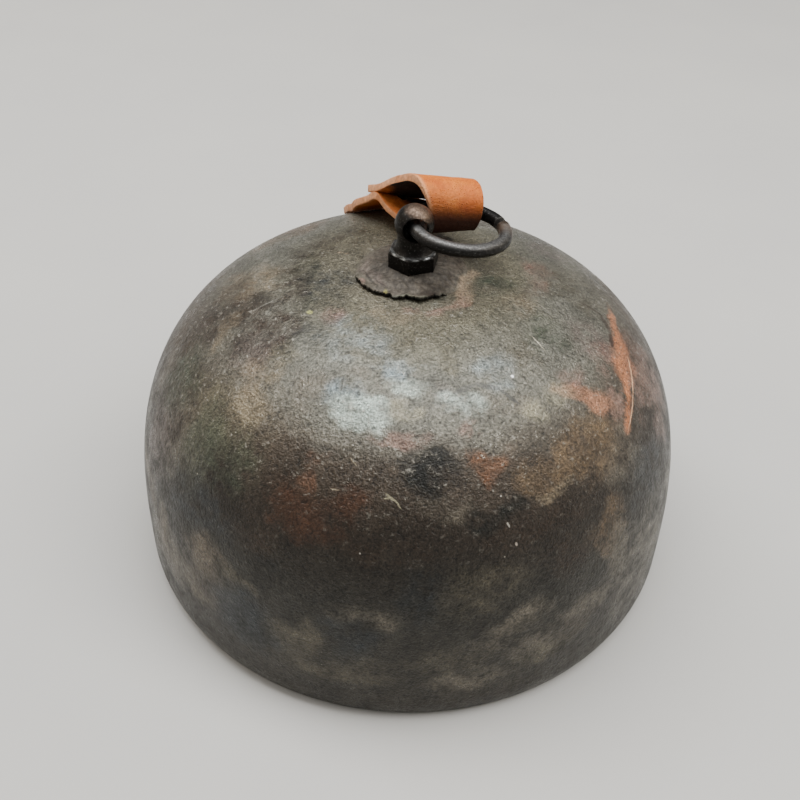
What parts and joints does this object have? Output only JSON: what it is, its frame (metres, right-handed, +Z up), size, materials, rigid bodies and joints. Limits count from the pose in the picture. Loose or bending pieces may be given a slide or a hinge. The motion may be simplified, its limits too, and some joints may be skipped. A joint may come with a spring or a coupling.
{
  "type": "dome bell",
  "caption": "Patinated dome bell with a hexagonal eye stud, a hanging ring, a short leather strap and a clapper inside.",
  "frame": {"origin": "on the bell's axis, in the plane of the rim it stands on", "axes": "+Z up along the bell's axis; the strap's tail lies towards +Y, and the ring is laid over towards +X"},
  "size_m": [0.13, 0.13, 0.0909],
  "materials": {
    "patina_metal": "dark mottled patina over copper-coloured metal",
    "solder_bed": "crusty grey-brown, torn edge",
    "black_iron": "blackened, worn to grey on its edges",
    "strap_leather": "orange-tan vegetable-tanned leather, pale cut edges",
    "rivet_brass": "dull",
    "dull_steel": "dull, a little rusty",
    "bob_iron": "as cast, rubbed where it strikes"
  },
  "bodies": {
    "bell": {"bell_shell": "patina_metal", "crown_plate": "solder_bed", "eye_stud": "black_iron", "inner_washer": "dull_steel", "inner_nut": "dull_steel"},
    "ring": {"hanging_ring": "black_iron"},
    "strap": {"leather_strap": "strap_leather", "strap_rivet": "rivet_brass", "strap_rivet_burr": "rivet_brass"},
    "link": {"clapper_link": "dull_steel"},
    "clapper": {"clapper_rod": "black_iron", "clapper_bob": "bob_iron"}
  },
  "joints": [
    {"name": "ring_swing", "type": "hinge", "parent": "bell", "child": "ring", "pos_m": [0, 0, 0.0852], "axis": [0, -1, 0], "range_deg": [0, 95]},
    {"name": "strap_swing", "type": "hinge", "parent": "ring", "child": "strap", "pos_m": [0.008, 0.0098, 0.08365], "axis": [0.9734, 0.2007, -0.1104], "range_deg": [0, 40]},
    {"name": "link_swing", "type": "hinge", "parent": "bell", "child": "link", "pos_m": [0, 0, 0.06383], "axis": [0, 1, 0], "range_deg": [-50, 50]},
    {"name": "clapper_swing", "type": "hinge", "parent": "link", "child": "clapper", "pos_m": [0, 0, 0.05528], "axis": [1, 0, 0], "range_deg": [-50, 50]}
  ],
  "couplings": [
    {"joint": "strap_swing", "follows": "ring_swing", "ratio": 0.42}
  ]
}
